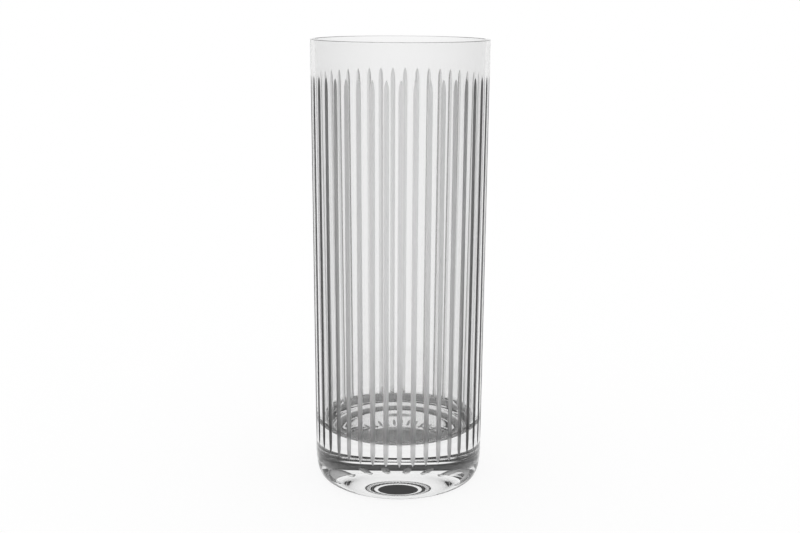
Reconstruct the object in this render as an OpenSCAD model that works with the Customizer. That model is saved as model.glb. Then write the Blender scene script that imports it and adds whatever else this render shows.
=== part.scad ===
// A tall, straight highball glass with a solid foot, its side cut with upright mitre flutes.
// The origin is on the table at the middle of the foot, and Z points up. Lengths are in millimetres.

/* [Body] */
// Outside diameter of the side, carried on to the height of the rim
rim_d = 60; // [56:0.5:76]
// Outside diameter of the side, carried on to the table
foot_d = 59.3; // [54:0.1:75]
// Height from the table to the rim
glass_h = 152.9; // [147:0.1:190]
// Thickness of the wall at the rim
rim_wall = 1.5; // [1.2:0.1:2.5]
// Thickness of the wall where the bowl's rounding starts
low_wall = 2.5; // [1.2:0.1:3.5]
// Height of the bowl's floor above the table
floor_h = 18.4; // [13:0.1:24]
// How much lower the floor lies at its middle
floor_dip = 0; // [0:0.1:3]
// Height of the rounding between the bowl's floor and its wall
round_h = 6; // [4:0.5:32]
// How flat the rounding starts at the floor, as a power
floor_power = 8.7; // [3:0.1:10]
// How upright the rounding ends at the wall, as a power
wall_power = 4.1; // [1.5:0.1:5]

/* [Foot] */
// Width of the heel's rounding, where the side turns under to the table
heel_w = 2.4; // [1:0.1:5]
// Height of the heel's rounding
heel_h = 9.5; // [3:0.5:11]
// How tight the heel's rounding is at its middle, as a power
heel_power = 2.5; // [1.5:0.1:4]
// Width of the flat ring that stands on the table
ring_w = 3.3; // [1:0.1:6]
// Height of the hollow under the foot, at its middle
punt_h = 4.2; // [1:0.1:6]
// How flat the top of the hollow is, as a power
punt_power = 2.1; // [1.4:0.1:5]
// How softly the sides of the hollow run out into the ring, as a power
edge_power = 1.4; // [1:0.1:3]

/* [Cut flutes] */
// Number of flutes round the side
flute_count = 41; // [12:1:44]
// Height of the flutes' upper points
flute_top_h = 141.5; // [110:0.5:142.5]
// Height of the flutes' lower points
flute_low_h = 12.5; // [12:0.5:40]
// Width of a flute near its upper point
flute_top_w = 2.3; // [1.2:0.1:2.4]
// Width of a flute near its lower point
flute_low_w = 1.8; // [1.2:0.1:2.4]
// Angle between the two faces of the mitre wheel's edge, in degrees
mitre_angle = 125; // [115:5:140]
// Diameter of the mitre wheel
wheel_d = 45; // [30:1:80]

/* [Hidden] */
$fn = 96;
// Number of steps that each curve of the outline is drawn in
curve_steps = 12;
bowl_steps = 16;
// How far the mitre wheel's cut is carried on outside the glass
cut_over = 1;

// Side, which leans out a little from the table to the rim
side_lean = atan((rim_d - foot_d) / 2 / glass_h);
function side_r(z) = foot_d / 2 + z * tan(side_lean);

// Round rim, whose circle is as wide as the wall and touches the side
lip_r = rim_wall / 2;
lip_mid = [side_r(glass_h - lip_r) - lip_r / cos(side_lean), glass_h - lip_r];

// Bowl: its radius and height where the rounding starts, and the straight inner wall's lean from there
bowl_z = floor_h + round_h;
bowl_r = side_r(bowl_z) - low_wall;
lip_away = lip_mid - [bowl_r, bowl_z];
wall_lean = acos(lip_r / norm(lip_away)) - atan2(lip_away[1], lip_away[0]);

// Heel and hollow: the radius where the heel leaves the table, and where the hollow starts
heel_foot_r = side_r(heel_h) - heel_w;
punt_r = heel_foot_r - ring_w;

// Flutes: the depth that gives each width, and the wheel's place at the two ends of its run
wheel_r = wheel_d / 2;
top_cut = flute_top_w / 2 / tan(mitre_angle / 2);
low_cut = flute_low_w / 2 / tan(mitre_angle / 2);
top_z = flute_top_h - sqrt(pow(wheel_r, 2) - pow(wheel_r - top_cut, 2));
low_z = flute_low_h + sqrt(pow(wheel_r, 2) - pow(wheel_r - low_cut, 2));
top_edge_r = side_r(top_z) - top_cut;
low_edge_r = side_r(low_z) - low_cut;
run_lean = atan((top_edge_r - low_edge_r) / (top_z - low_z));
run_length = (top_z - low_z) / cos(run_lean);
// Height of the cut's cross-section, and the turn that brings the wheel clear of the glass
edge_h = top_cut + cut_over;
edge_w = edge_h * tan(mitre_angle / 2);
lift_turn = acos(1 - edge_h / wheel_r);

// Hollow under the foot, from its middle to the standing ring
hollow_line = [
    for (i = [0 : curve_steps]) let (share = i / curve_steps)
        [punt_r * share, punt_h * pow(1 - pow(share, punt_power), edge_power)]
];

// Heel, from the table up to the side
heel_line = [
    for (i = [0 : curve_steps]) let (a = 90 * i / curve_steps)
        [heel_foot_r + heel_w * pow(sin(a), 2 / heel_power), heel_h - heel_h * pow(cos(a), 2 / heel_power)]
];

// Rim, from the side over to the inner wall
lip_line = [
    for (i = [0 : curve_steps]) let (a = -side_lean + (180 - wall_lean + side_lean) * i / curve_steps)
        lip_mid + lip_r * [cos(a), sin(a)]
];

// Inside of the bowl, from the wall down the rounding to the middle of the floor
function floor_at(share) = bowl_z - round_h * pow(1 - pow(share, floor_power), 1 / wall_power)
    - floor_dip * pow(1 - pow(share, 2), 2);
bowl_line = [
    for (i = [0 : bowl_steps]) let (share = 1 - pow(i / bowl_steps, 3))
        [bowl_r * share, floor_at(share)]
];

// Half of the glass cut down its middle
module wall_section() {
    polygon(concat(hollow_line, heel_line, lip_line, bowl_line));
}

// Cross-section of the mitre wheel's edge, with the wheel's axis along Y
module mitre_edge() {
    polygon([
        [wheel_r, 0],
        [wheel_r - edge_h, edge_w],
        [wheel_r - edge_h, -edge_w]
    ]);
}

// End of a cut, where the wheel turns up out of the glass
module lift_off() {
    rotate([90, 0, 0]) rotate_extrude(angle = lift_turn) mitre_edge();
}

// Cut of one flute: the wheel's straight run up the side, and its way out at the two ends
module flute_cut() {
    translate([low_edge_r, 0, low_z]) rotate([0, run_lean, 0]) translate([wheel_r, 0, 0]) {
        rotate([0, 0, 180]) {
            linear_extrude(run_length) mitre_edge();
            translate([0, 0, run_length]) lift_off();
            mirror([0, 0, 1]) lift_off();
        }
    }
}

module tumbler() {
    color("lightcyan", 0.5) difference() {
        rotate_extrude() wall_section();
        for (i = [0 : flute_count - 1]) rotate([0, 0, i * 360 / flute_count - 90]) flute_cut();
    }
}

tumbler();
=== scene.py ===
"""A straight highball glass with a heavy foot and upright mitre flutes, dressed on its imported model.

The glass is one piece. A panel one flute wide is drawn from the turned outline and a table of the
cut's widths, Geometry Nodes repeat it round the axis, and the ring is closed into one glass.
Lengths are in metres, and Z points up from the table.
"""

import math

import bmesh
import bpy
from bpy.props import FloatProperty, FloatVectorProperty, IntProperty, PointerProperty
from bpy.types import Operator, Panel, PropertyGroup
from mathutils import Matrix, Vector


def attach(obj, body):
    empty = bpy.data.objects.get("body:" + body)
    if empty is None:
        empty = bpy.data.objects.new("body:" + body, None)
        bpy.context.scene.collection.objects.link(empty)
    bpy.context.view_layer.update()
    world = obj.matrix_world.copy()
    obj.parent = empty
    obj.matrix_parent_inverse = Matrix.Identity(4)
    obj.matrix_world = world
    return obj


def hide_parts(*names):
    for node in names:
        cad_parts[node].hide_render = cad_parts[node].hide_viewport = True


bl_info = {
    "name": "Fluted highball glass",
    "version": (1, 0, 0),
    "blender": (4, 5, 0),
    "location": "View3D > Sidebar > Highball",
    "description": "Turns, cuts and finishes a fluted highball glass, and sets the studio round it",
    "category": "Object",
}

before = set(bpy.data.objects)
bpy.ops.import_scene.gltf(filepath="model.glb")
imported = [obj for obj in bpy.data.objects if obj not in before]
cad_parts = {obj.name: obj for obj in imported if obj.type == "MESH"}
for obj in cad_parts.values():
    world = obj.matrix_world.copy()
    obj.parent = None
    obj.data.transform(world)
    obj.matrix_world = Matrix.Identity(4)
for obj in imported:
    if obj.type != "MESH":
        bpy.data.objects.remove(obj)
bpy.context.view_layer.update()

MM = 0.001
GLASS_NODE = "tumbler"
GLASS_PIECE = "glass_tumbler"

# A cut's shape, as pairs in millimetres: the distance below its upper tip, and half its width there.
CUT_FROM_TOP = ((0, 0), (0.8, 0.42), (2, 0.70), (3.6, 0.82), (4.7, 0.88), (7, 0.96), (9, 1.04),
                (12.6, 1.17), (18, 1.17), (25, 1.15), (38, 1.09), (53, 1.01), (69, 0.97), (83, 0.93),
                (100, 0.90), (124, 0.88))
# The same by the distance above its lower tip, where the wheel runs out.
CUT_FROM_LOW = ((0, 0), (0.5, 0.26), (1.2, 0.50), (2.2, 0.70), (3.4, 0.82), (4.8, 0.88))

# Steps along each part of the outline.
PUNT_STEPS = 32
HEEL_STEPS = 14
LIP_STEPS = 18
INSIDE_STEPS = 8
BOWL_STEPS = 48
# Columns of the wall on either side of a flute.
COLUMNS = 5
# Distances of the wall's rows from a flute's tip, in millimetres.
TIP_ROWS = (0.15, 0.4, 0.8, 1.2, 1.7, 2.2, 2.8, 3.4, 4.1, 4.8, 5.8, 7, 8, 9, 10.8, 12.6, 15, 18,
            21.5, 25)
# Steps of the wall between the two tips' rows, and from a tip to the heel or to the lip.
LONG_STEPS = 12
END_STEPS = 4
# Corners closer than this, in millimetres, are one: within a panel, and where two panels meet.
SAME_CORNER = 0.0001
SEAM = 0.001
# Edges that turn by more than this, in degrees, are sharp.
SHARP_TURN = 18

# Waviness of the polished glass: waves in a metre, height in millimetres, and how much of it shows.
WAVE_SCALE = 60.0
WAVE_HEIGHT = 0.2
WAVE_STRENGTH = 0.006
# Surface of the cuts: lines in a metre across a flute, the share of them in a metre along it (so
# they are drawn out), grains in a metre, height in millimetres, how much of it shows, and how much
# the roughness varies.
LINE_SCALE = 5200.0
LINE_ALONG = 0.06
GRAIN_SCALE = 9000.0
GRAIN_HEIGHT = 0.03
GRAIN_STRENGTH = 0.12
ROUGH_SPREAD = 0.08
# How far a wall has turned away, from 0 to 1, where its painted shade is at its deepest.
CLEAR_SHADE_TURNED = 0.9
GROUND_SHADE_TURNED = 0.5

# Brightness of the room by the height at which it is looked at, in degrees above the horizon.
ROOM = ((-90, 1.0), (8, 1.0), (11, 0.02), (36, 0.02), (39, 1.0), (90, 1.0))
FLOOR_SIDES = 64
# How far the floor lies below the foot, and the nearest thing the camera shows, in millimetres.
FLOOR_DROP = 0.02
NEAREST = 10
# The farthest thing the camera shows, in metres.
FARTHEST = 200


def length(name, text, value):
    """A length property, with its default given in millimetres."""
    return FloatProperty(name=name, description=text, default=value * MM, min=0, precision=5,
                         subtype="DISTANCE", unit="LENGTH")


def number(name, text, value, low=0.0, high=1.0):
    """A plain number property."""
    return FloatProperty(name=name, description=text, default=value, min=low, max=high)


def angle(name, text, degrees):
    """An angle property, with its default given in degrees."""
    return FloatProperty(name=name, description=text, default=math.radians(degrees),
                         subtype="ANGLE", unit="ROTATION")


def tint(name, text, value):
    """A colour property."""
    return FloatVectorProperty(name=name, description=text, default=value, size=3, min=0, max=1,
                               subtype="COLOR")


class GlassSizes(PropertyGroup):
    """Sizes of the turned glass."""

    height: length("Height", "From the table to the rim", 152.9)
    rim_d: length("Rim diameter", "Outside diameter carried on to the height of the rim", 60)
    foot_d: length("Foot diameter", "Outside diameter carried on to the table", 59.3)
    rim_wall: length("Rim wall", "Thickness of the wall at the rim", 1.5)
    lip_h: length("Lip round", "Height of the round on the lip", 0.15)
    low_wall: length("Low wall", "Thickness of the wall where the bowl's rounding starts", 2.5)
    floor_h: length("Floor height", "Height of the bowl's floor above the table", 18.4)
    floor_dip: length("Floor dip", "How much lower the floor lies at its middle", 0)
    round_h: length("Rounding height", "Height of the rounding between the floor and the wall", 6)
    floor_power: number("Floor power", "How flat the rounding starts at the floor", 8.7, 1.0, 12.0)
    wall_power: number("Wall power", "How upright the rounding ends at the wall", 4.1, 1.0, 12.0)
    heel_w: length("Heel width", "Width of the heel's rounding", 2.4)
    heel_h: length("Heel height", "Height of the heel's rounding", 9.5)
    heel_power: number("Heel power", "How tight the heel's rounding is at its middle", 2.5, 1.0, 6.0)
    punt_r: length("Hollow radius", "Radius of the hollow under the foot", 23.972)
    punt_h: length("Hollow height", "Height of the hollow at its middle", 4.2)
    punt_power: number("Hollow power", "How flat the top of the hollow is", 2.1, 1.0, 8.0)
    edge_power: number("Edge power", "How softly the hollow's sides run out into the ring",
                       1.4, 1.0, 4.0)


class FluteSizes(PropertyGroup):
    """Sizes of the cut flutes."""

    count: IntProperty(name="Flutes", description="Number of flutes round the glass",
                       default=41, min=3, max=60)
    top_h: length("Upper tip", "Height of the flutes' upper tips", 141.5)
    low_h: length("Lower tip", "Height of the flutes' lower tips", 12.5)
    mitre: angle("Mitre", "Angle of the cutting wheel's edge", 125)


class FinishValues(PropertyGroup):
    """Colours and finishes."""

    ior: number("Refraction", "Refractive index of the glass", 1.52, 1.3, 1.8)
    clear: tint("Clear glass", "Tint of the polished glass", (0.93, 0.93, 0.93))
    ground: tint("Ground glass", "Tint of the cut faces", (0.96, 0.96, 0.96))
    ground_rough: number("Ground roughness", "Roughness of the cut faces", 0.6)
    # Shares of each tint left at the sides of the glass: painted shade, strongest on the cut faces.
    clear_slant_shade: number("Clear at a slant",
                        "Share of the clear tint left where the wall turns away", 0.82)
    ground_slant_shade: number("Ground at a slant",
                         "Share of the ground tint left where the wall turns away", 0.15)


class StudioSizes(PropertyGroup):
    """The floor, the light and the camera."""

    floor_r: length("Floor radius", "Radius of the pale floor", 60000)
    floor_glow: number("Floor glow", "Share of the floor's white that needs no light", 0.85)
    foot_shade: number("Foot shade", "Share of the glow that the floor under the foot loses", 0.8)
    lens: number("Lens", "Focal length in millimetres on a 36 mm sensor", 49.72, 10, 200)
    distance: length("Distance", "From the glass's axis to the camera", 374.78)
    eye_h: length("Camera height", "Height of the camera above the table", 166.78)
    side: length("Camera side step", "Step of the camera to its right", 0.29)
    tilt: angle("Tilt", "Tilt of the camera below the horizontal", 13.767)
    roll: angle("Roll", "Turn of the camera about its own line of sight", 0.29)
    heading: angle("Heading", "Turn of the camera's place about the glass's axis", -0.8)


def side_r(glass, z):
    """Radius of the outside at a height."""
    return (glass.foot_d + (glass.rim_d - glass.foot_d) * z / glass.height) / 2


def under_rows(glass):
    """Radius and height along the underside, from the hollow's middle to the top of the heel."""
    rows = []
    for i in range(PUNT_STEPS + 1):
        share = i / PUNT_STEPS
        rise = (1 - share ** glass.punt_power) ** glass.edge_power
        rows.append((glass.punt_r * share, glass.punt_h * rise))
    mid_r = side_r(glass, glass.heel_h) - glass.heel_w
    rows.append((mid_r, 0))
    for i in range(1, HEEL_STEPS + 1):
        a = math.pi / 2 * i / HEEL_STEPS
        out = math.sin(a) ** (2 / glass.heel_power)
        up = 1 - max(0.0, math.cos(a)) ** (2 / glass.heel_power)
        rows.append((mid_r + glass.heel_w * out, glass.heel_h * up))
    return rows


def lip_mid(glass):
    """Radius and height of the middle of the lip's round."""
    mid_z = glass.height - glass.lip_h
    return side_r(glass, mid_z) - glass.rim_wall / 2, mid_z


def inner_rows(glass):
    """Radius and height over the lip, down the inside and round the corner to the floor's middle."""
    half = glass.rim_wall / 2
    lip_r, lip_z = lip_mid(glass)
    rows = []
    for i in range(1, LIP_STEPS + 1):
        a = math.radians(180 * i / LIP_STEPS)
        rows.append((lip_r + half * math.cos(a), lip_z + glass.lip_h * math.sin(a)))
    corner_z = glass.floor_h + glass.round_h
    wall_r = side_r(glass, corner_z) - glass.low_wall
    top_r = lip_r - half
    for i in range(1, INSIDE_STEPS + 1):
        share = i / INSIDE_STEPS
        rows.append((top_r + (wall_r - top_r) * share, lip_z + (corner_z - lip_z) * share))
    for i in range(1, BOWL_STEPS + 1):
        share = 1 - (i / BOWL_STEPS) ** 3
        drop = glass.round_h * (1 - share ** glass.floor_power) ** (1 / glass.wall_power)
        dip = glass.floor_dip * (1 - share ** 2) ** 2
        rows.append((wall_r * share, corner_z - drop - dip))
    return rows


def from_table(table, at):
    """The value of a table of (place, value) pairs at a place between them."""
    for (a, low), (b, high) in zip(table, table[1:]):
        if at <= b:
            return low + (high - low) * (at - a) / (b - a)
    return table[-1][1]


def cut_half_width(flute, z):
    """Half the width of a flute at a height, nothing beyond its tips."""
    if not flute.low_h < z < flute.top_h:
        return 0.0
    top = from_table(CUT_FROM_TOP, (flute.top_h - z) / MM)
    low = from_table(CUT_FROM_LOW, (z - flute.low_h) / MM)
    return min(top, low) * MM


def wall_heights(glass, flute):
    """Heights of the rows on the outside wall, close together at the flutes' tips."""
    low, top = flute.low_h, flute.top_h
    heights = {low, top}
    for step in TIP_ROWS:
        heights |= {low + step * MM, top - step * MM}
    last = TIP_ROWS[-1]
    for i in range(1, LONG_STEPS):
        heights.add(low + last * MM + (top - low - 2 * last * MM) * i / LONG_STEPS)
    below = (low - glass.heel_h) / END_STEPS
    heights |= {glass.heel_h + below * i for i in range(1, END_STEPS)}
    above = (lip_mid(glass)[1] - top) / END_STEPS
    heights |= {top + above * i for i in range(1, END_STEPS + 1)}
    return sorted(heights)


def panel_rows(glass, flute):
    """Rows of the panel from the underside to the bowl's floor: places, height, whether it can be cut.

    Each place is a radius and an angle about the axis. The three places at the middle of a row are
    the two edges and the bottom of the cut, and they fall together where there is no cut.
    """
    half = math.pi / flute.count
    slope = math.tan(flute.mitre / 2)
    even = [half * i / COLUMNS for i in range(-COLUMNS, COLUMNS + 1)]
    even = even[:COLUMNS] + [0.0, 0.0, 0.0] + even[COLUMNS + 1:]
    rows = [([(r, a) for a in even], z, False) for r, z in under_rows(glass)]
    for z in wall_heights(glass, flute):
        r = side_r(glass, z)
        width = cut_half_width(flute, z)
        edge = width / r
        spread = [edge + (half - edge) * i / COLUMNS for i in range(COLUMNS + 1)]
        bottom = (r * math.cos(edge) - width / slope, 0.0)
        line = [(r, -a) for a in reversed(spread)] + [bottom] + [(r, a) for a in spread]
        rows.append((line, z, True))
    return rows + [([(r, a) for a in even], z, False) for r, z in inner_rows(glass)]


def draw_panel(glass, flute):
    """A mesh one flute wide: outside, lip, inside, floor and underside, with its cut faces marked."""
    rows = panel_rows(glass, flute)
    mesh = bmesh.new()
    ground = mesh.faces.layers.int.new("ground")
    known = {}

    def corner(r, a, z):
        """The panel's vertex at a place, made once."""
        place = Vector((r * math.sin(a), -r * math.cos(a), z))
        key = tuple(round(c / (SAME_CORNER * MM)) for c in place)
        if key not in known:
            known[key] = mesh.verts.new(place)
        return known[key]

    grid = [[corner(r, a, z) for r, a in line] for line, z, _ in rows]
    for row in range(len(rows) - 1):
        low, high = grid[row], grid[row + 1]
        for column in range(len(low) - 1):
            ring = [low[column], low[column + 1], high[column + 1], high[column]]
            ring = [v for i, v in enumerate(ring) if v not in ring[:i]]
            if len(ring) < 3:
                continue
            face = mesh.faces.new(ring)
            face.smooth = True
            in_cut = column in (COLUMNS, COLUMNS + 1) and rows[row][2] and rows[row + 1][2]
            face[ground] = int(in_cut)
    data = bpy.data.meshes.new("flute_panel")
    mesh.to_mesh(data)
    mesh.free()
    return data


def new_material(name):
    """A node material and its principled shader."""
    material = bpy.data.materials.new(name)
    material.use_nodes = True
    return material, material.node_tree.nodes["Principled BSDF"]


def add(tree, kind, **values):
    """A new node with its properties set and, by socket name, its inputs."""
    node = tree.nodes.new(kind)
    for key, value in values.items():
        if key in node.inputs:
            node.inputs[key].default_value = value
        else:
            setattr(node, key, value)
    return node


def map_range(tree, **ends):
    """A Map Range node, with its ends given by name: from_min, from_max, to_min and to_max."""
    node = add(tree, "ShaderNodeMapRange")
    for name, value in ends.items():
        node.inputs[name.replace("_", " ").title()].default_value = value
    return node


def paint_shade_by_slant(tree, shader, color, shaded_share, turned, normal=None):
    """Darken a tint on a slant: painted shade at the glass's sides, where light crosses more glass.

    The normal, where one is given, stands in for the surface's own.
    """
    link = tree.links.new
    slant = add(tree, "ShaderNodeLayerWeight", Blend=0.5)
    share = map_range(tree, from_max=turned)
    mix = add(tree, "ShaderNodeMix", data_type="RGBA")
    # A mix node has sockets for every kind of value, so its colours are found by their kind.
    near, shaded_tint = [s for s in mix.inputs if s.type == "RGBA"]
    result = next(s for s in mix.outputs if s.type == "RGBA")
    near.default_value = (*color, 1)
    # The far end of the mix holds the tint darkened by painted shade.
    shaded_tint.default_value = (*(c * shaded_share for c in color), 1)
    if normal:
        link(normal, slant.inputs["Normal"])
    link(slant.outputs["Facing"], share.inputs["Value"])
    link(share.outputs["Result"], mix.inputs["Factor"])
    link(result, shader.inputs["Base Color"])


def clear_glass(finish):
    """Polished glass, with the faintest waviness of a drawn surface."""
    material, shader = new_material("clear_glass")
    tree = material.node_tree
    link = tree.links.new
    # Painted shade darkens the clear tint where the wall is seen on a slant.
    paint_shade_by_slant(tree, shader, finish.clear, finish.clear_slant_shade, CLEAR_SHADE_TURNED)
    shader.inputs["Roughness"].default_value = 0.0
    shader.inputs["IOR"].default_value = finish.ior
    shader.inputs["Transmission Weight"].default_value = 1.0
    place = add(tree, "ShaderNodeTexCoord")
    waves = add(tree, "ShaderNodeTexNoise", Scale=WAVE_SCALE, Detail=1.0, Roughness=0.4)
    bump = add(tree, "ShaderNodeBump", Strength=WAVE_STRENGTH, Distance=WAVE_HEIGHT * MM)
    link(place.outputs["Object"], waves.inputs["Vector"])
    link(waves.outputs["Fac"], bump.inputs["Height"])
    link(bump.outputs["Normal"], shader.inputs["Normal"])
    return material


def ground_glass(finish):
    """Matt cut faces: a fine grain and faint lines drawn along each flute by the wheel.

    Their painted shade deepens by the turn of the round wall that they are cut in, not of the
    cut's own faces, whose near one would stay pale to the very sides of the glass.
    """
    material, shader = new_material("ground_glass")
    tree = material.node_tree
    link = tree.links.new
    shader.distribution = "GGX"
    shader.inputs["IOR"].default_value = finish.ior
    shader.inputs["Transmission Weight"].default_value = 1.0
    place = add(tree, "ShaderNodeTexCoord")
    level = add(tree, "ShaderNodeVectorMath", operation="MULTIPLY")
    level.inputs[1].default_value = (1, 1, 0)
    outward = add(tree, "ShaderNodeVectorMath", operation="NORMALIZE")
    link(place.outputs["Object"], level.inputs[0])
    link(level.outputs["Vector"], outward.inputs[0])
    # Painted shade darkens the ground tint by the round wall's turn, to the very sides of the glass.
    paint_shade_by_slant(tree, shader, finish.ground, finish.ground_slant_shade, GROUND_SHADE_TURNED,
                  outward.outputs["Vector"])
    drawn = add(tree, "ShaderNodeMapping", Scale=(1.0, 1.0, LINE_ALONG))
    lines = add(tree, "ShaderNodeTexNoise", Scale=LINE_SCALE, Detail=3.0, Roughness=0.6)
    grain = add(tree, "ShaderNodeTexNoise", Scale=GRAIN_SCALE, Detail=2.0, Roughness=0.7)
    both = add(tree, "ShaderNodeMath", operation="ADD")
    bump = add(tree, "ShaderNodeBump", Strength=GRAIN_STRENGTH, Distance=GRAIN_HEIGHT * MM)
    rough = map_range(tree, to_min=finish.ground_rough - ROUGH_SPREAD,
                      to_max=finish.ground_rough + ROUGH_SPREAD)
    link(place.outputs["Object"], drawn.inputs["Vector"])
    link(drawn.outputs["Vector"], lines.inputs["Vector"])
    link(place.outputs["Object"], grain.inputs["Vector"])
    link(lines.outputs["Fac"], both.inputs[0])
    link(grain.outputs["Fac"], both.inputs[1])
    link(both.outputs["Value"], bump.inputs["Height"])
    link(lines.outputs["Fac"], rough.inputs["Value"])
    link(rough.outputs["Result"], shader.inputs["Roughness"])
    link(bump.outputs["Normal"], shader.inputs["Normal"])
    return material


def ring_tree():
    """A node tree that repeats a panel round Z, closes its seams and gives it its two finishes."""
    tree = bpy.data.node_groups.new("flute_ring", "GeometryNodeTree")
    ends = tree.interface
    for name, kind in (("Geometry", "Geometry"), ("Flutes", "Int"), ("Seam", "Float"),
                       ("Clear", "Material"), ("Ground", "Material")):
        ends.new_socket(name, in_out="INPUT", socket_type="NodeSocket" + kind)
    ends.new_socket("Geometry", in_out="OUTPUT", socket_type="NodeSocketGeometry")
    given = tree.nodes.new("NodeGroupInput")
    made = tree.nodes.new("NodeGroupOutput")
    points = add(tree, "GeometryNodePoints")
    index = add(tree, "GeometryNodeInputIndex")
    pitch = add(tree, "ShaderNodeMath", operation="DIVIDE")
    pitch.inputs[0].default_value = math.tau
    turn = add(tree, "ShaderNodeMath", operation="MULTIPLY")
    about = add(tree, "ShaderNodeCombineXYZ")
    place = add(tree, "GeometryNodeInstanceOnPoints")
    realize = add(tree, "GeometryNodeRealizeInstances")
    seam = add(tree, "GeometryNodeMergeByDistance")
    clear = add(tree, "GeometryNodeSetMaterial")
    cut = add(tree, "GeometryNodeInputNamedAttribute", data_type="INT", Name="ground")
    ground = add(tree, "GeometryNodeSetMaterial")
    link = tree.links.new
    link(given.outputs["Flutes"], points.inputs["Count"])
    link(given.outputs["Flutes"], pitch.inputs[1])
    link(index.outputs["Index"], turn.inputs[0])
    link(pitch.outputs["Value"], turn.inputs[1])
    link(turn.outputs["Value"], about.inputs["Z"])
    link(points.outputs[0], place.inputs["Points"])
    link(given.outputs["Geometry"], place.inputs["Instance"])
    link(about.outputs["Vector"], place.inputs["Rotation"])
    link(place.outputs["Instances"], realize.inputs["Geometry"])
    link(realize.outputs["Geometry"], seam.inputs["Geometry"])
    link(given.outputs["Seam"], seam.inputs["Distance"])
    link(seam.outputs["Geometry"], clear.inputs["Geometry"])
    link(given.outputs["Clear"], clear.inputs["Material"])
    link(clear.outputs["Geometry"], ground.inputs["Geometry"])
    link(cut.outputs["Attribute"], ground.inputs["Selection"])
    link(given.outputs["Ground"], ground.inputs["Material"])
    link(ground.outputs["Geometry"], made.inputs["Geometry"])
    return tree


def baked(base, tree, values):
    """The plain mesh that a node tree makes of a base mesh."""
    carrier = bpy.data.objects.new("carrier", base)
    bpy.context.scene.collection.objects.link(carrier)
    modifier = carrier.modifiers.new("nodes", "NODES")
    modifier.node_group = tree
    for item in tree.interface.items_tree:
        if item.in_out == "INPUT" and item.name in values:
            modifier[item.identifier] = values[item.name]
    graph = bpy.context.evaluated_depsgraph_get()
    mesh = bpy.data.meshes.new_from_object(carrier.evaluated_get(graph))
    carrier.modifiers.remove(modifier)
    bpy.data.objects.remove(carrier)
    return mesh


def check_closed(mesh):
    """Stop if a mesh has an open edge, or its faces point inwards."""
    check = bmesh.new()
    check.from_mesh(mesh)
    open_edges = sum(1 for e in check.edges if not e.is_manifold)
    volume = check.calc_volume(signed=True)
    check.free()
    if open_edges or volume <= 0:
        raise RuntimeError(f"the glass isn't solid: {open_edges} open edges, volume {volume}")


class HIGHBALL_OT_glass(Operator):
    """Turn the glass, cut its flutes and give both surfaces their finish."""

    bl_idname = "highball.glass"
    bl_label = "Turn and cut the glass"

    def execute(self, context):
        scene = context.scene
        panel = draw_panel(scene.highball_glass, scene.highball_flutes)
        values = {
            "Flutes": scene.highball_flutes.count,
            "Seam": SEAM * MM,
            "Clear": clear_glass(scene.highball_finish),
            "Ground": ground_glass(scene.highball_finish),
        }
        mesh = baked(panel, ring_tree(), values)
        mesh.name = GLASS_PIECE
        mesh.set_sharp_from_angle(angle=math.radians(SHARP_TURN))
        check_closed(mesh)
        piece = bpy.data.objects.new(GLASS_PIECE, mesh)
        scene.collection.objects.link(piece)
        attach(piece, "root")
        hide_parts(GLASS_NODE)
        return {"FINISHED"}


def seen_rays(tree):
    """One where a ray comes from the camera, a mirror or through glass, else zero."""
    link = tree.links.new
    path = add(tree, "ShaderNodeLightPath")
    first = add(tree, "ShaderNodeMath", operation="MAXIMUM")
    both = add(tree, "ShaderNodeMath", operation="MAXIMUM")
    link(path.outputs["Is Camera Ray"], first.inputs[0])
    link(path.outputs["Is Glossy Ray"], first.inputs[1])
    link(first.outputs["Value"], both.inputs[0])
    link(path.outputs["Is Transmission Ray"], both.inputs[1])
    return both.outputs["Value"]


def foot_shade(tree, glass, studio):
    """Share of the floor's glow that is left: all of it, but for rays through glass under the foot."""
    link = tree.links.new
    place = add(tree, "ShaderNodeTexCoord")
    away = add(tree, "ShaderNodeVectorMath", operation="LENGTH")
    foot_r = glass.foot_d / 2 - glass.heel_w
    under = map_range(tree, from_min=foot_r, from_max=foot_r + MM,
                      to_min=studio.foot_shade, to_max=0.0)
    path = add(tree, "ShaderNodeLightPath")
    lost = add(tree, "ShaderNodeMath", operation="MULTIPLY")
    left = add(tree, "ShaderNodeMath", operation="SUBTRACT")
    left.inputs[0].default_value = 1.0
    link(place.outputs["Object"], away.inputs[0])
    link(away.outputs["Value"], under.inputs["Value"])
    link(under.outputs["Result"], lost.inputs[0])
    link(path.outputs["Is Transmission Ray"], lost.inputs[1])
    link(lost.outputs["Value"], left.inputs[1])
    return left.outputs["Value"]


def floor_material(glass, studio):
    """A white floor that mostly glows to what looks at it; its lit share keeps the glass's shadow."""
    material = bpy.data.materials.new("pale_floor")
    material.use_nodes = True
    tree = material.node_tree
    tree.nodes.clear()
    link = tree.links.new
    matt = add(tree, "ShaderNodeBsdfDiffuse", Color=(1 - studio.floor_glow,) * 3 + (1,))
    glow = add(tree, "ShaderNodeEmission", Color=(1, 1, 1, 1))
    open_share = add(tree, "ShaderNodeMath", operation="MULTIPLY")
    strength = add(tree, "ShaderNodeMath", operation="MULTIPLY")
    strength.inputs[1].default_value = studio.floor_glow
    total = add(tree, "ShaderNodeAddShader")
    out = add(tree, "ShaderNodeOutputMaterial")
    link(seen_rays(tree), open_share.inputs[0])
    link(foot_shade(tree, glass, studio), open_share.inputs[1])
    link(open_share.outputs["Value"], strength.inputs[0])
    link(strength.outputs["Value"], glow.inputs["Strength"])
    link(matt.outputs["BSDF"], total.inputs[0])
    link(glow.outputs["Emission"], total.inputs[1])
    link(total.outputs["Shader"], out.inputs["Surface"])
    return material


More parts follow.
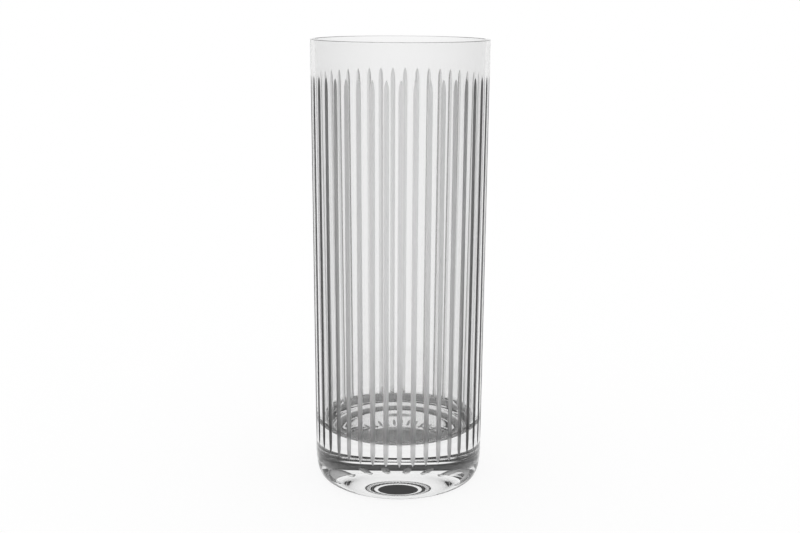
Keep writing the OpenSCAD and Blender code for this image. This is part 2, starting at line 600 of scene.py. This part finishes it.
def room_world(scene):
    """A room that is plain white to the camera and lights everything evenly.

    Glass and reflections show it as ROOM says: a low pale backdrop, a dark gap over it and a soft
    top light.
    """
    world = bpy.data.worlds.new("room")
    scene.world = world
    world.use_nodes = True
    tree = world.node_tree
    tree.nodes.clear()
    link = tree.links.new
    place = add(tree, "ShaderNodeTexCoord")
    parts = add(tree, "ShaderNodeSeparateXYZ")
    rise = add(tree, "ShaderNodeMath", operation="ARCSINE")
    share = map_range(tree, from_min=-math.pi / 2, from_max=math.pi / 2)
    ramp = add(tree, "ShaderNodeValToRGB")
    stops = ramp.color_ramp.elements
    # A new ramp has two stops: the first is kept for the table's first row.
    stops.remove(stops[1])
    for i, (height, value) in enumerate(ROOM):
        spot = (height + 90) / 180
        stop = stops.new(spot) if i else stops[0]
        stop.position = spot
        stop.color = (value, value, value, 1)
    path = add(tree, "ShaderNodeLightPath")
    seen = add(tree, "ShaderNodeMath", operation="MAXIMUM")
    room = add(tree, "ShaderNodeBackground", Strength=1.0)
    plain = add(tree, "ShaderNodeBackground", Color=(1, 1, 1, 1), Strength=1.0)
    mix = add(tree, "ShaderNodeMixShader")
    out = add(tree, "ShaderNodeOutputWorld")
    link(place.outputs["Generated"], parts.inputs["Vector"])
    link(parts.outputs["Z"], rise.inputs[0])
    link(rise.outputs["Value"], share.inputs["Value"])
    link(share.outputs["Result"], ramp.inputs["Fac"])
    link(ramp.outputs["Color"], room.inputs["Color"])
    link(path.outputs["Is Transmission Ray"], seen.inputs[0])
    link(path.outputs["Is Glossy Ray"], seen.inputs[1])
    link(seen.outputs["Value"], mix.inputs["Fac"])
    link(plain.outputs["Background"], mix.inputs[1])
    link(room.outputs["Background"], mix.inputs[2])
    link(mix.outputs["Shader"], out.inputs["Surface"])


def lay_floor(scene, glass, studio):
    """A wide round floor just below the foot."""
    disc = bmesh.new()
    bmesh.ops.create_circle(disc, cap_ends=True, segments=FLOOR_SIDES, radius=studio.floor_r)
    data = bpy.data.meshes.new("floor")
    disc.to_mesh(data)
    disc.free()
    data.materials.append(floor_material(glass, studio))
    floor = bpy.data.objects.new("floor", data)
    floor.location.z = -FLOOR_DROP * MM
    scene.collection.objects.link(floor)


def set_camera(scene, studio):
    """The camera, placed about the glass's axis and tilted down at it."""
    lens = bpy.data.cameras.new("camera")
    lens.lens = studio.lens
    lens.clip_start = NEAREST * MM
    lens.clip_end = FARTHEST
    camera = bpy.data.objects.new("camera", lens)
    scene.collection.objects.link(camera)
    about = Matrix.Rotation(studio.heading, 4, "Z")
    place = Matrix.Translation((studio.side, -studio.distance, studio.eye_h))
    tilt = Matrix.Rotation(math.pi / 2 - studio.tilt, 4, "X")
    camera.matrix_world = about @ place @ tilt @ Matrix.Rotation(studio.roll, 4, "Z")
    scene.camera = camera


class HIGHBALL_OT_studio(Operator):
    """Lay the floor, light the room and set the camera."""

    bl_idname = "highball.studio"
    bl_label = "Set the studio"

    def execute(self, context):
        scene = context.scene
        scene.view_settings.view_transform = "Standard"
        lay_floor(scene, scene.highball_glass, scene.highball_studio)
        room_world(scene)
        set_camera(scene, scene.highball_studio)
        return {"FINISHED"}


class HIGHBALL_PT_panel(Panel):
    """The glass's and the studio's sizes and operators."""

    bl_idname = "HIGHBALL_PT_panel"
    bl_label = "Highball glass"
    bl_space_type = "VIEW_3D"
    bl_region_type = "UI"
    bl_category = "Highball"

    def draw(self, context):
        scene = context.scene
        groups = ((HIGHBALL_OT_glass, ("highball_glass", "highball_flutes", "highball_finish")),
                  (HIGHBALL_OT_studio, ("highball_studio",)))
        for operator, names in groups:
            box = self.layout.box()
            for name in names:
                group = getattr(scene, name)
                for key in group.__annotations__:
                    box.prop(group, key)
            box.operator(operator.bl_idname)


CLASSES = (GlassSizes, FluteSizes, FinishValues, StudioSizes, HIGHBALL_OT_glass,
           HIGHBALL_OT_studio, HIGHBALL_PT_panel)


def register():
    """Add the classes and their settings."""
    for cls in CLASSES:
        bpy.utils.register_class(cls)
    bpy.types.Scene.highball_glass = PointerProperty(type=GlassSizes)
    bpy.types.Scene.highball_flutes = PointerProperty(type=FluteSizes)
    bpy.types.Scene.highball_finish = PointerProperty(type=FinishValues)
    bpy.types.Scene.highball_studio = PointerProperty(type=StudioSizes)


def unregister():
    """Take them away again."""
    for name in ("highball_studio", "highball_finish", "highball_flutes", "highball_glass"):
        delattr(bpy.types.Scene, name)
    for cls in reversed(CLASSES):
        bpy.utils.unregister_class(cls)


def main():
    """Make the glass and the studio."""
    register()
    bpy.ops.highball.glass()
    bpy.ops.highball.studio()


if __name__ == "__main__":
    main()
